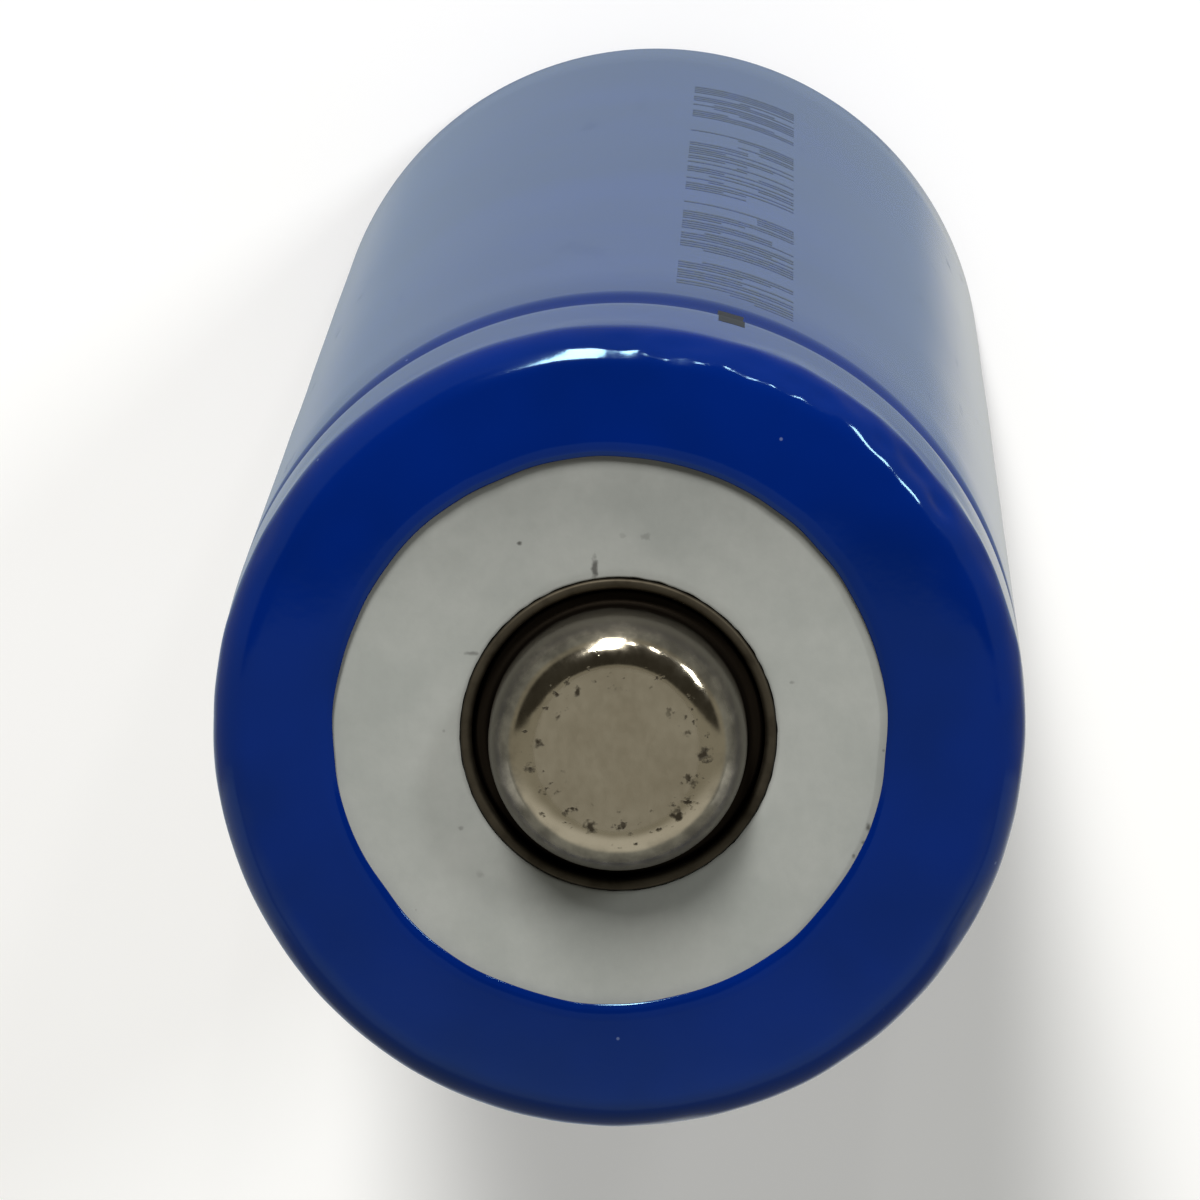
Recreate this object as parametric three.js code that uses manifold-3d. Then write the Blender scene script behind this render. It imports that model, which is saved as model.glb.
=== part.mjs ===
// Cylindrical rechargeable cell, 18 mm class, 65 mm tall without its button, built as the real one is:
// a beaded and crimped steel can, a wound electrode roll, a sealed header with its safety parts,
// a welded-on button, a white insulating washer and a shrunk plastic sleeve.
// Millimetres, +Z up. The cell stands on its negative end, with its axis on Z and its lowest face at Z = 0.
import * as THREE from "three";
import { mergeVertices } from "three/addons/utils/BufferGeometryUtils.js";
import Module from "manifold-3d";

const wasm = await Module();
wasm.setup();

// ---- driving dimensions ----
const facets = 36; // flats round every turned piece, all starting at the same angle so that they nest
const slack = 0.03; // clearance between pieces that touch
const past = 1; // how far a cutting body runs past the piece it cuts

const sleeve = {
  radius: 9.2, // outside of the sleeve, which is the cell's own radius
  wall: 0.12,
  height: 65, // the upper lip's highest circle, its crest
  crest: 6.75, // radius of that circle
  slope: 9, // degrees the lip has turned outwards where its corner starts
  topCorner: 1,
  bottomCorner: 0.95,
  topHole: 6.25, // radius left open round the washer
  bottomHole: 7.2, // radius left open round the negative face
  edgeDrop: 0.07, // the lip's inner edge sinks this much below the crest
  dipDepth: 0.34, // how far it is drawn into the can's groove
  dipHalfWidth: 1.3,
};
const can = {
  radius: 9.05,
  wall: 0.25,
  floor: 0.3,
  bottom: 0.14, // underside of the negative face
  bottomCorner: 0.8,
  top: 64.5, // top of the crimped lip
  topCorner: 1,
  lipHole: 6.9,
  flat: 6, // radius of the bare middle of the negative face
  groove: 59.2, // height of the groove's middle
  grooveDepth: 1.33,
  grooveHalfWidth: 1.45,
};
const washer = { outer: 7.9, hole: 3.62, bottom: 64.55, thick: 0.25 };
const button = { radius: 2.9, top: 66.9, shoulder: 1.05, wall: 0.3, brim: 3.25, brimThick: 0.25 };
// The top cap's raised ring round the button.
const collar = { outer: 3.55, inner: 3.3, top: 64.87, crest: 0.1 };
const cap = {
  thick: 0.55,
  dishRise: 0.12, // underside of the dished middle above the flange's face
  dishThick: 0.32,
  dishFoot: 4, // radius at which the dish's underside meets the flange's
  stepFoot: 4.15, // radius of the step's foot on the flange
  stepRise: 0.45,
  vents: 4,
  ventWidth: 1.5,
  ventInner: 3.65,
  ventOuter: 4.9,
};
// The stack clamped in the crimp: it stands on the bead, the can's shoulder above the groove.
const header = { radius: 8.1, gasketLip: 0.5, gasketHole: 6.8, bead: 60.85 };
const plate = { thick: 0.4, holes: 6, holeRadius: 0.6, holeCircle: 4 };
const cidRing = { thick: 0.5, hole: 5.7 };
const burstDisc = {
  thick: 0.35,
  bossRadius: 1.1,
  bossSide: 0.5, // how much wider the boss is at its top
  bossHeight: 0.35,
  rimHole: 5.4,
  rimSide: 0.5, // width of the rim's step
  rimRise: 0.1, // height of that step
  lean: 0.1, // the upper face's corners lie further in by this
};
const ptc = { thick: 0.45, hole: 4.4 };

const roll = {
  core: 1.9, // radius of the hollow core
  radius: 8.25,
  turns: 10,
  steps: 18, // flats to a turn
  gap: 0.02, // between layers
  positive: 0.24,
  separator: 0.04,
  bottom: 0.95,
  top: 56.9,
  overhang: 0.55, // the separators stand past the electrodes by this at each end
};
const tape = { inner: 8.3, thick: 0.05, bottom: 10, top: 50 };
const lowerDisc = { bottom: 0.62, thick: 0.18, radius: 8.5, hole: 1.6 };
const upperDisc = {
  bottom: 57.2,
  thick: 0.25,
  radius: 8.6,
  hole: 1.6,
  vents: 5,
  ventRadius: 0.8,
  ventCircle: 6.2,
};
const tabSlot = { face: 0.15, side: 0.2 }; // room that the discs leave round a tab
const centrePin = { outer: 1.5, wall: 0.2, bottom: 1, top: 56.6, slit: 0.5 };
const negativeTab = { width: 3, thick: 0.12, bottom: 0.47, top: 8, face: 8.33, bend: 0.7, reach: 0.5 };
const positiveTab = { width: 3, thick: 0.15, root: 57.02, out: 4.5, fold: 59.5, reach: 1.6, landing: 3.5 };
// The strips that cover the bare stretches of both tabs.
const tabTape = { width: 3.6, thick: 0.05, bottom: 3, overlap: 0.6, margin: 0.3 };

// ---- finishes ----
function finish(color, roughness, metalness) {
  return new THREE.MeshStandardMaterial({ color, roughness, metalness });
}
const nickel = finish(0xb9b4a6, 0.3, 1);
const brightNickel = finish(0xc4c0b4, 0.22, 1);
const aluminium = finish(0xc9cbcd, 0.4, 1);
const blueSleeve = finish(0x00266c, 0.22, 0);
const whiteBoard = finish(0xd9dcd4, 0.75, 0);
const clearGasket = finish(0xcfd3d2, 0.5, 0);
const polyDisc = finish(0x9fb7a0, 0.55, 0);
const blackCeramic = finish(0x2c2b2a, 0.7, 0);
const positiveCoat = finish(0x2a2c2e, 0.85, 0);
const negativeCoat = finish(0x35312d, 0.8, 0);
const separatorFilm = finish(0xe9ebe8, 0.6, 0);
const amberTape = finish(0xb8791f, 0.35, 0);
const greenTape = finish(0x3f8f5a, 0.4, 0);

// ---- helpers ----
const cell = new THREE.Group();

function add(name, geometry, material) {
  const mesh = new THREE.Mesh(geometry, material);
  mesh.name = name;
  cell.add(mesh);
}

// A body of revolution about Z. Its outline is a list of [radius, height], outside first going up.
function turned(outline) {
  const closed = outline[0][0] === 0 ? outline : [...outline, outline[0]];
  const points = closed.map(([r, z]) => new THREE.Vector2(r, z));
  return new THREE.LatheGeometry(points, facets).rotateX(Math.PI / 2);
}

// Points on an arc of the outline, its angles in degrees from the radial direction.
function arc(r, z, radius, from, to, steps) {
  return Array.from({ length: steps + 1 }, (_, i) => {
    const angle = THREE.MathUtils.degToRad(from + ((to - from) * i) / steps);
    return [r + radius * Math.cos(angle), z + radius * Math.sin(angle)];
  });
}

// A smooth groove of cosine shape, going up, of the given depth below the radius.
function groove(radius, middle, halfWidth, depth, steps) {
  return Array.from({ length: steps + 1 }, (_, i) => {
    const t = (2 * i) / steps - 1;
    return [radius - (depth * (1 + Math.cos(Math.PI * t))) / 2, middle + t * halfWidth];
  });
}

function flatRing(inner, outer, bottom, thick) {
  return turned([
    [inner, bottom],
    [outer, bottom],
    [outer, bottom + thick],
    [inner, bottom + thick],
  ]);
}

function toSolid(geometry) {
  const bare = geometry.clone();
  bare.deleteAttribute("normal");
  bare.deleteAttribute("uv");
  const merged = mergeVertices(bare, 1e-4);
  return new wasm.Manifold(
    new wasm.Mesh({
      numProp: 3,
      vertProperties: merged.attributes.position.array,
      triVerts: new Uint32Array(merged.index.array),
    }),
  );
}

function toGeometry(solid) {
  const mesh = solid.getMesh();
  return new THREE.BufferGeometry()
    .setAttribute("position", new THREE.BufferAttribute(mesh.vertProperties, 3))
    .setIndex(new THREE.BufferAttribute(mesh.triVerts, 1));
}

function cut(geometry, cutters) {
  return toGeometry(cutters.reduce((left, cutter) => left.subtract(toSolid(cutter)), toSolid(geometry)));
}

// Round holes of the given radius, evenly spaced on a circle, as cutting bodies.
function ringOfHoles(count, radius, circle, bottom, top, sides = 12) {
  return Array.from({ length: count }, (_, i) => {
    const angle = (2 * Math.PI * (i + 0.5)) / count;
    return new THREE.CylinderGeometry(radius, radius, top - bottom, sides)
      .rotateX(Math.PI / 2)
      .translate(circle * Math.cos(angle), circle * Math.sin(angle), (bottom + top) / 2);
  });
}

function block(x0, x1, y0, y1, z0, z1) {
  const middle = [(x0 + x1) / 2, (y0 + y1) / 2, (z0 + z1) / 2];
  return new THREE.BoxGeometry(x1 - x0, y1 - y0, z1 - z0).translate(...middle);
}

// A bent strip: an outline in X and Z, as wide as given along Y.
function bentStrip(outline, width) {
  const shape = new THREE.Shape(outline.map(([x, z]) => new THREE.Vector2(x, z)));
  return new THREE.ExtrudeGeometry(shape, { depth: width, bevelEnabled: false })
    .rotateX(Math.PI / 2)
    .translate(0, width / 2, 0);
}

// ---- case ----
function canOutline() {
  const inner = can.radius - can.wall;
  const corner = can.topCorner - can.wall;
  const floorCorner = can.bottomCorner - can.wall;
  const outside = [
    [0, can.bottom],
    [can.flat, can.bottom],
    ...arc(can.radius - can.bottomCorner, can.bottom + can.bottomCorner, can.bottomCorner, -90, 0, 4),
    ...groove(can.radius, can.groove, can.grooveHalfWidth, can.grooveDepth, 8),
    ...arc(can.radius - can.topCorner, can.top - can.topCorner, can.topCorner, 0, 90, 4),
    [can.lipHole, can.top],
  ];
  const inside = [
    [can.lipHole, can.top - can.wall],
    ...arc(can.radius - can.topCorner, can.top - can.topCorner, corner, 90, 0, 4),
    ...groove(inner, can.groove, can.grooveHalfWidth + can.wall / 2, can.grooveDepth, 8).reverse(),
    ...arc(inner - floorCorner, can.bottom + can.floor + floorCorner, floorCorner, 0, -90, 3),
    [0, can.bottom + can.floor],
  ];
  return [...outside, ...inside];
}
add("can", turned(canOutline()), nickel);

// The upper lip rises from its inner edge to the crest, then bends down gently to a tighter corner.
function sleeveOutline() {
  const inner = sleeve.radius - sleeve.wall;
  const axis = sleeve.radius - sleeve.topCorner;
  const turn = THREE.MathUtils.degToRad(sleeve.slope);
  const cornerStart = axis + sleeve.topCorner * Math.sin(turn);
  const crestRadius = (cornerStart - sleeve.crest) / Math.sin(turn);
  const crestMiddle = sleeve.height - crestRadius;
  const corner = crestMiddle + (crestRadius - sleeve.topCorner) * Math.cos(turn);
  const steep = 90 - sleeve.slope;
  const low = sleeve.bottomCorner;
  const outside = [
    [sleeve.bottomHole, 0],
    ...arc(sleeve.radius - low, low, low, -90, 0, 4),
    ...groove(sleeve.radius, can.groove, sleeve.dipHalfWidth, sleeve.dipDepth, 6),
    ...arc(axis, corner, sleeve.topCorner, 0, steep, 5),
    ...arc(sleeve.crest, crestMiddle, crestRadius, steep, 90, 2).slice(1),
    [sleeve.topHole, sleeve.height - sleeve.edgeDrop],
  ];
  const inside = [
    [sleeve.topHole, sleeve.height - sleeve.edgeDrop - sleeve.wall],
    ...arc(sleeve.crest, crestMiddle, crestRadius - sleeve.wall, 90, steep, 2),
    ...arc(axis, corner, sleeve.topCorner - sleeve.wall, steep, 0, 5).slice(1),
    ...groove(inner, can.groove, sleeve.dipHalfWidth, sleeve.dipDepth, 6).reverse(),
    ...arc(sleeve.radius - low, low, low - sleeve.wall, 0, -90, 4),
    [sleeve.bottomHole, sleeve.wall],
  ];
  return [...outside, ...inside];
}
add("sleeve", turned(sleeveOutline()), blueSleeve);

add("top_washer", flatRing(washer.hole, washer.outer, washer.bottom, washer.thick), whiteBoard);

// ---- header: from the bead up, each level rests on the last ----
const level = {};
level.plate = header.bead + header.gasketLip + slack;
level.cidRing = level.plate + plate.thick + slack;
level.burstDisc = level.cidRing + cidRing.thick + slack;
level.ptc = level.burstDisc + burstDisc.thick + slack;
level.cap = level.ptc + ptc.thick + slack;
level.gasketTop = level.cap + cap.thick + slack;
level.dish = level.cap + cap.thick + cap.dishRise;

// C-shaped seal: it lines the can and grips the edge of the stack from both sides.
function gasketOutline() {
  const outer = can.radius - can.wall - slack;
  const corner = can.topCorner - can.wall - slack;
  const inner = header.radius + slack;
  return [
    [header.gasketHole, header.bead],
    [outer, header.bead],
    ...arc(can.radius - can.topCorner, can.top - can.topCorner, corner, 0, 90, 4),
    [header.gasketHole, can.top - can.wall - slack],
    [header.gasketHole, level.gasketTop],
    [inner, level.gasketTop],
    [inner, level.plate - slack],
    [header.gasketHole, level.plate - slack],
  ];
}
add("crimp_gasket", turned(gasketOutline()), clearGasket);

// Perforated plate that carries the current up from the roll.
const plateBlank = turned([
  [0, level.plate],
  [header.radius, level.plate],
  [header.radius, level.plate + plate.thick],
  [0, level.plate + plate.thick],
]);
add(
  "contact_plate",
  cut(
    plateBlank,
    ringOfHoles(plate.holes, plate.holeRadius, plate.holeCircle, level.plate - past, level.plate + past),
  ),
  aluminium,
);

add("cid_insulator_ring", flatRing(cidRing.hole, header.radius, level.cidRing, cidRing.thick), polyDisc);

// Scored disc with a boss that reaches down to the contact plate and snaps up under pressure.
function burstDiscOutline() {
  const { thick, bossRadius, bossSide, bossHeight, rimHole, rimSide, rimRise, lean } = burstDisc;
  const low = level.cidRing + slack;
  const high = level.burstDisc;
  return [
    [0, low],
    [bossRadius, low],
    [bossRadius + bossSide, low + bossHeight],
    [rimHole - rimSide, high - rimRise],
    [rimHole, high],
    [header.radius, high],
    [header.radius, high + thick],
    [rimHole - lean, high + thick],
    [rimHole - rimSide - lean, high + thick - rimRise],
    [bossRadius + bossSide - lean, low + bossHeight + thick],
    [bossRadius - lean, low + thick],
    [0, low + thick],
  ];
}
add("burst_disc", turned(burstDiscOutline()), aluminium);

add("ptc_ring", flatRing(ptc.hole, header.radius, level.ptc, ptc.thick), blackCeramic);

// Stamped terminal plate: flat flange, raised ring round the button, dished middle.
function topCapOutline() {
  const flange = level.cap + cap.thick;
  return [
    [0, level.dish],
    [collar.inner, level.dish],
    [cap.dishFoot, level.cap],
    [header.radius, level.cap],
    [header.radius, flange],
    [cap.stepFoot, flange],
    [collar.outer, flange + cap.stepRise],
    ...arc(collar.outer - collar.crest, collar.top - collar.crest, collar.crest, 0, 90, 2),
    ...arc(collar.inner + collar.crest, collar.top - collar.crest, collar.crest, 90, 180, 2),
    [collar.inner, level.dish + cap.dishThick],
    [0, level.dish + cap.dishThick],
  ];
}

// Gas vents through the step.
function capVents() {
  const side = cap.ventWidth / 2;
  const high = level.cap + cap.thick + cap.stepRise + past;
  return Array.from({ length: cap.vents }, (_, i) =>
    block(cap.ventInner, cap.ventOuter, -side, side, level.cap - past, high).rotateZ(
      ((i + 0.5) * 2 * Math.PI) / cap.vents,
    ),
  );
}
add("top_cap", cut(turned(topCapOutline()), capVents()), nickel);

// Hat-shaped button, welded by its brim in the top cap's dish.
function buttonOutline() {
  const brim = level.dish + cap.dishThick + slack;
  const flat = button.radius - button.shoulder;
  const fillet = 0.12;
  const edge = 0.06;
  return [
    [0, button.top - button.wall],
    ...arc(flat, button.top - button.shoulder, button.shoulder - button.wall, 90, 0, 4),
    [button.radius - button.wall, brim],
    [button.brim, brim],
    [button.brim, brim + button.brimThick - edge],
    [button.brim - edge, brim + button.brimThick],
    [button.radius + fillet, brim + button.brimThick],
    [button.radius, brim + button.brimThick + fillet],
    ...arc(flat, button.top - button.shoulder, button.shoulder, 0, 90, 6),
    [0, button.top],
  ];
}
add("button_cap", turned(buttonOutline()), brightNickel);

// ---- wound roll: four strips, each an Archimedean spiral that starts a layer further out ----
const pitch = (roll.radius - roll.core) / roll.turns;
const negativeThick = pitch - roll.positive - 2 * roll.separator - 4 * roll.gap;

function woundStrip(offset, thick, bottom, top) {
  const count = (roll.turns - 1) * roll.steps;
  const side = (extra) =>
    Array.from({ length: count + 1 }, (_, i) => {
      const angle = (2 * Math.PI * i) / roll.steps;
      const radius = roll.core + offset + extra + (pitch * i) / roll.steps;
      return new THREE.Vector2(radius * Math.cos(angle), radius * Math.sin(angle));
    });
  const shape = new THREE.Shape([...side(thick), ...side(0).reverse()]);
  const strip = new THREE.ExtrudeGeometry(shape, { depth: top - bottom, bevelEnabled: false });
  return strip.translate(0, 0, bottom);
}

const electrodeBottom = roll.bottom + roll.overhang;
const electrodeTop = roll.top - roll.overhang;
const layers = [
  ["separator_inner", roll.separator, roll.bottom, roll.top, separatorFilm],
  ["positive_electrode", roll.positive, electrodeBottom, electrodeTop, positiveCoat],
  ["separator_outer", roll.separator, roll.bottom, roll.top, separatorFilm],
  ["negative_electrode", negativeThick, electrodeBottom, electrodeTop, negativeCoat],
];
let offset = 0;
for (const [name, thick, bottom, top, material] of layers) {
  add(name, woundStrip(offset, thick, bottom, top), material);
  offset += thick + roll.gap;
}

// Rolled steel tube that keeps the core open, slit along its length.
function slitTube() {
  const { outer, wall, bottom, top, slit } = centrePin;
  const tube = flatRing(outer - wall, outer, bottom, top - bottom);
  return cut(tube, [block(0, outer + past, -slit / 2, slit / 2, bottom - past, top + past)]);
}
add("centre_pin", slitTube(), nickel);
const tapeHeight = tape.top - tape.bottom;
add("roll_tape", flatRing(tape.inner, tape.inner + tape.thick, tape.bottom, tapeHeight), greenTape);

// ---- tabs and end discs ----
// Disc under the roll, notched at its edge for the negative tab.
function lowerInsulator() {
  const { hole, radius, bottom, thick } = lowerDisc;
  const inner = negativeTab.face - negativeTab.bend - tabSlot.face;
  const side = negativeTab.width / 2 + tabSlot.side;
  return cut(flatRing(hole, radius, bottom, thick), [
    block(inner, radius + past, -side, side, bottom - past, bottom + past),
  ]);
}
add("lower_insulator", lowerInsulator(), polyDisc);

// Disc over the roll, with gas holes and a slot for the positive tab and its tape.
function upperInsulator() {
  const { hole, radius, bottom, thick, vents, ventRadius, ventCircle } = upperDisc;
  const inner = positiveTab.out - tabSlot.face;
  const outer = positiveTab.out + positiveTab.thick + slack + tabTape.thick + tabSlot.face;
  const side = tabTape.width / 2 + tabSlot.side;
  return cut(flatRing(hole, radius, bottom, thick), [
    ...ringOfHoles(vents, ventRadius, ventCircle, bottom - past, bottom + past, 10),
    block(inner, outer, -side, side, bottom - past, bottom + past),
  ]);
}
add("upper_insulator", upperInsulator(), polyDisc);

// Nickel tab: down the outside of the roll, then under the lower disc to the weld at the can's middle.
function negativeTabOutline() {
  const { face, thick, bottom, top, bend, reach } = negativeTab;
  return [
    [-reach, bottom],
    [face + thick - bend, bottom],
    [face + thick, bottom + bend],
    [face + thick, top],
    [face, top],
    [face, bottom + bend],
    [face - bend, bottom + thick],
    [-reach, bottom + thick],
  ];
}
add("negative_tab", bentStrip(negativeTabOutline(), negativeTab.width), nickel);

// Aluminium tab: up through the upper disc, folded inwards, then up and back out under the contact plate.
function positiveTabOutline() {
  const { out, thick, root, fold, reach, landing } = positiveTab;
  const under = level.plate - slack - thick;
  return [
    [out, root],
    [out + thick, root],
    [out + thick, fold + thick],
    [-reach + thick, fold + thick],
    [-reach + thick, under],
    [landing, under],
    [landing, under + thick],
    [-reach, under + thick],
    [-reach, fold],
    [out, fold],
  ];
}
add("positive_tab", bentStrip(positiveTabOutline(), positiveTab.width), aluminium);

// A flat strip of tape over the outer face of a tab.
function tapeOver(face, bottom, top) {
  return block(face, face + tabTape.thick, -tabTape.width / 2, tabTape.width / 2, bottom, top);
}
const negativeFace = negativeTab.face + negativeTab.thick + slack;
const overEnd = negativeTab.top + tabTape.overlap;
add("negative_tab_tape", tapeOver(negativeFace, tabTape.bottom, overEnd), amberTape);

const positiveFace = positiveTab.out + positiveTab.thick + slack;
const aboveDisc = upperDisc.bottom + upperDisc.thick + tabTape.margin;
add("positive_tab_tape", tapeOver(positiveFace, aboveDisc, positiveTab.fold - tabTape.margin), amberTape);

export default cell;
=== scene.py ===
import math
import random

import bpy
from mathutils import Matrix, Vector, noise


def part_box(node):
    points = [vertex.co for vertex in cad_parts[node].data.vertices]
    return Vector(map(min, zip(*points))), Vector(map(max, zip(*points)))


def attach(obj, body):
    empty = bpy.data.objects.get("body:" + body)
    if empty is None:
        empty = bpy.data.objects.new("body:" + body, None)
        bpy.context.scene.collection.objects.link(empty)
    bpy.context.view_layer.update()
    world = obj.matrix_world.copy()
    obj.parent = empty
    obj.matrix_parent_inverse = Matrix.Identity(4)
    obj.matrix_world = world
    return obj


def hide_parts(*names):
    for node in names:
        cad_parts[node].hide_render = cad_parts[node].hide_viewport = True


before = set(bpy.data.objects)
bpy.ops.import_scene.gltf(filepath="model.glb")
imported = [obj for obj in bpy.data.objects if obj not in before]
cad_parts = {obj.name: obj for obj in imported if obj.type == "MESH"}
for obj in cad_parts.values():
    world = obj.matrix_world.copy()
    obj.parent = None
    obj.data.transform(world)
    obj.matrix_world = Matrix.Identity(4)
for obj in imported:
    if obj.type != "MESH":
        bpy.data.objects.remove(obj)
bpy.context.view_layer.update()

mm = 0.001


# the height of a node's underside and top, in mm
def levels(node):
    low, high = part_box(node)
    return low.z / mm, high.z / mm


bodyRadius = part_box("sleeve")[1].x / mm
bodyHeight = levels("sleeve")[1]  # the crest of the sleeve's upper lip

# ---- camera: nearly along the axis, a little towards +Y ----
cameraSetup = {
    "distance": 232.1,  # mm, from the middle of the upper lip
    "tilt": 9.47,  # degrees off the cell's axis, towards +Y
    "turn": 5.86,  # degrees from +Y towards +X
    "aim": (-0.41, 3.09),  # mm, where the view's middle meets the lip's plane
    "lens": 310,
}


# a unit vector: tilt is degrees from the axis, turn is degrees from +Y towards +X
def direction(tilt, turn):
    tilt, turn = math.radians(tilt), math.radians(turn)
    return Vector((math.sin(tilt) * math.sin(turn), math.sin(tilt) * math.cos(turn), math.cos(tilt)))


# turns an object's -Z towards a point, with +Y upwards in its view
def faceTowards(thing, eye, target):
    forward = (target - eye).normalized()
    right = forward.cross(Vector((0, 1, 0))).normalized()
    up = right.cross(forward)
    thing.matrix_world = Matrix.Translation(eye) @ Matrix((right, up, -forward)).transposed().to_4x4()


topMiddle = Vector((0, 0, bodyHeight)) * mm
bpy.ops.object.select_all(action="DESELECT")
bpy.ops.object.camera_add()
camera = bpy.context.active_object
camera.name = "camera"
camera.data.lens = cameraSetup["lens"]
camera.data.clip_start = 0.01
camera.data.clip_end = 20
faceTowards(
    camera,
    topMiddle + direction(cameraSetup["tilt"], cameraSetup["turn"]) * cameraSetup["distance"] * mm,
    Vector((*cameraSetup["aim"], bodyHeight)) * mm,
)
bpy.context.scene.camera = camera
print("camera placed")


# ---- making materials ----
def linear(hexText):
    channels = [int(hexText[i:i + 2], 16) / 255 for i in (1, 3, 5)]
    return (*(c / 12.92 if c <= 0.04045 else ((c + 0.055) / 1.055) ** 2.4 for c in channels), 1)


# gives a node its inputs, by name or number: each is a value, a socket, or a node, whose first output is used
def feed(tree, node, inputs):
    for key, value in inputs.items():
        if isinstance(value, bpy.types.Node):
            value = next(socket for socket in value.outputs if socket.enabled)
        if isinstance(value, bpy.types.NodeSocket):
            tree.links.new(value, node.inputs[key])
        else:
            node.inputs[key].default_value = value


# adds a node with its settings, values and links
def addNode(tree, kind, inputs, **settings):
    node = tree.nodes.new("ShaderNode" + kind)
    for name, value in settings.items():
        setattr(node, name, value)
    feed(tree, node, inputs)
    return node


# Map Range: 0 is the value, 1 and 2 the range it comes from, 3 and 4 the range it goes to. Mix: 0 is the
# share of the second colour, 6 and 7 are the colours.
smooth = {"interpolation_type": "SMOOTHSTEP"}
colours = {"data_type": "RGBA"}


# a new material with its shader and place on the piece: sockets gives the values that are the same all over
def newMaterial(name, **sockets):
    material = bpy.data.materials.new(name)
    material.use_nodes = True
    tree = material.node_tree
    shader = tree.nodes["Principled BSDF"]
    feed(tree, shader, {socket.replace("_", " "): value for socket, value in sockets.items()})
    return material, tree, shader, addNode(tree, "TexCoord", {}).outputs["Object"]


# distance from the cell's axis, in metres
def axisDistance(tree, place):
    parts = addNode(tree, "SeparateXYZ", {0: place})
    flat = addNode(tree, "CombineXYZ", {"X": parts.outputs["X"], "Y": parts.outputs["Y"]})
    return addNode(tree, "VectorMath", {0: flat}, operation="LENGTH")


# noise whose features are about size mm across, brought to 0..1 between two of its levels
def patches(tree, place, size, low, high, detail=3, stretch=(1, 1, 1), shift=(0, 0, 0)):
    moved = addNode(tree, "Mapping", {"Vector": place, "Scale": stretch, "Location": shift})
    inputs = {"Vector": moved, "Scale": 1 / (size * mm), "Detail": detail, "Roughness": 0.55}
    field = addNode(tree, "TexNoise", inputs)
    return addNode(tree, "MapRange", {0: field, 1: low, 2: high}, **smooth)


# lays one colour over another where a mask is 1, as strongly as share says
def lay(tree, under, mask, share, over):
    strength = addNode(tree, "Math", {0: mask, 1: share}, operation="MULTIPLY")
    return addNode(tree, "Mix", {0: strength, 6: under, 7: over}, **colours)


# ---- shaping ----
def arcPoints(middle, radius, start, end, steps):
    angles = [math.radians(start + (end - start) * i / steps) for i in range(steps + 1)]
    return [(middle[0] + radius * math.cos(a), middle[1] + radius * math.sin(a)) for a in angles]


def straight(first, last, steps):
    return [tuple(a + (b - a) * i / steps for a, b in zip(first, last)) for i in range(1, steps)]


# a groove of cosine shape in a cylinder, going up
def groovePoints(radius, middle, halfWidth, depth, steps):
    spots = [2 * i / steps - 1 for i in range(steps + 1)]
    return [(radius - depth * (1 + math.cos(math.pi * t)) / 2, middle + t * halfWidth) for t in spots]


# A turned piece: its outline is drawn point by point in the XZ plane, then spun round the axis.
# A closed outline comes back to its first point, and one that meets the axis ends there in a pole.
def turnedPiece(name, outline, segments, closed=True):
    points = [Vector((radius, 0, height)) * mm for radius, height in outline]
    if closed and outline[0][0] > 0:
        points.append(points[0])
    bpy.ops.object.select_all(action="DESELECT")
    bpy.ops.mesh.primitive_plane_add(size=mm, location=(0, 0, 0))
    piece = bpy.context.active_object
    piece.name = piece.data.name = name
    bpy.ops.object.mode_set(mode="EDIT")
    bpy.ops.mesh.select_all(action="SELECT")
    bpy.ops.mesh.merge(type="CENTER")
    bpy.ops.transform.translate(value=points[0])
    for last, point in zip(points, points[1:]):
        bpy.ops.mesh.extrude_region_move(TRANSFORM_OT_translate={"value": point - last})
    bpy.ops.mesh.select_all(action="SELECT")
    bpy.ops.mesh.spin(steps=segments, angle=2 * math.pi, center=(0, 0, 0), axis=(0, 0, 1))
    bpy.ops.mesh.select_all(action="SELECT")
    bpy.ops.mesh.remove_doubles(threshold=0.0004 * mm)
    bpy.ops.mesh.normals_make_consistent(inside=False)
    bpy.ops.object.mode_set(mode="OBJECT")
    return piece


def onlySelect(piece):
    bpy.ops.object.select_all(action="DESELECT")
    piece.select_set(True)
    bpy.context.view_layer.objects.active = piece


def applyModifier(piece, kind, **settings):
    onlySelect(piece)
    modifier = piece.modifiers.new(kind.lower(), kind)
    for name, value in settings.items():
        setattr(modifier, name, value)
    bpy.ops.object.modifier_apply(modifier=modifier.name)


# moves every vertex: the rule gets its place in mm, its normal and its turn from +Y, and gives a shift in mm
def sculpt(piece, rule):
    before = [(vertex.co / mm, vertex.normal.copy()) for vertex in piece.data.vertices]
    for vertex, (place, normal) in zip(piece.data.vertices, before):
        turn = math.degrees(math.atan2(place.x, place.y))
        vertex.co += rule(place, normal, turn) * mm


def smoothStep(start, end, value):
    t = min(1, max(0, (value - start) / (end - start)))
    return t * t * (3 - 2 * t)


def finishPiece(piece, material, slot, *nodes, angle=40):
    onlySelect(piece)
    bpy.ops.object.shade_smooth_by_angle(angle=math.radians(angle))
    piece.data.materials.clear()
    piece.data.materials.append(material)
    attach(piece, "root")
    if nodes:
        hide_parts(*nodes)
    print(piece.name, len(piece.data.polygons), "faces")


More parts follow.
